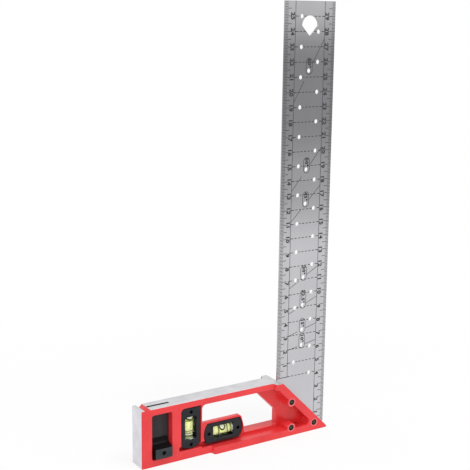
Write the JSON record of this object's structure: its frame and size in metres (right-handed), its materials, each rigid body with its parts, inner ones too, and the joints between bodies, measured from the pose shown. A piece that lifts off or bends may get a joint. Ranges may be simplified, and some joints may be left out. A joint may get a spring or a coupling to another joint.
{
  "type": "l-square",
  "caption": "Try square with a steel rule blade in a cast stock, a plumb vial, a level vial and a ledge that slides up out of the stock.",
  "frame": {"origin": "the outer corner under the blade's inner edge: X 0 at the blade's inner edge, Y 0 at the blade's mid-plane, Z 0 on the stock's outer face", "axes": "+Z along the blade away from the stock, +X from the stock's free end towards its nose, +Y through the thickness, away from the front"},
  "size_m": [0.1515, 0.021, 0.3],
  "materials": {
    "red_paint": "glossy red paint on cast metal, milled bare on the working faces",
    "blade_steel": "satin brushed, with etched black marks",
    "dark_pins": "blackened",
    "dark_plastic": "fine moulded grain",
    "frame_plastic": "fine moulded grain",
    "clear_acrylic": "clear and polished",
    "vial_fluid": "clear yellow-green liquid",
    "ring_black": "printed black"
  },
  "bodies": {
    "square": {"stock": "red_paint", "blade": "blade_steel", "blade_rivets": "dark_pins", "plumb_frame_front": "frame_plastic", "plumb_frame_back": "frame_plastic", "plumb_screws": "dark_pins", "plumb_vial_tube": "clear_acrylic", "plumb_vial_fluid": "vial_fluid", "plumb_vial_plug": "clear_acrylic", "plumb_vial_rings": "ring_black", "level_frame_front": "frame_plastic", "level_frame_back": "frame_plastic", "level_screws": "dark_pins", "level_vial_tube": "clear_acrylic", "level_vial_fluid": "vial_fluid", "level_vial_plug": "clear_acrylic", "level_vial_rings": "ring_black"},
    "ledge": {"ledge_plate": "dark_plastic", "ledge_button_front": "dark_plastic", "ledge_button_back": "dark_plastic", "ledge_screw": "dark_pins"}
  },
  "joints": [
    {"name": "ledge_slide", "type": "slide", "parent": "square", "child": "ledge", "axis": [0, 0, 1], "range_m": [0, 0.018]}
  ]
}
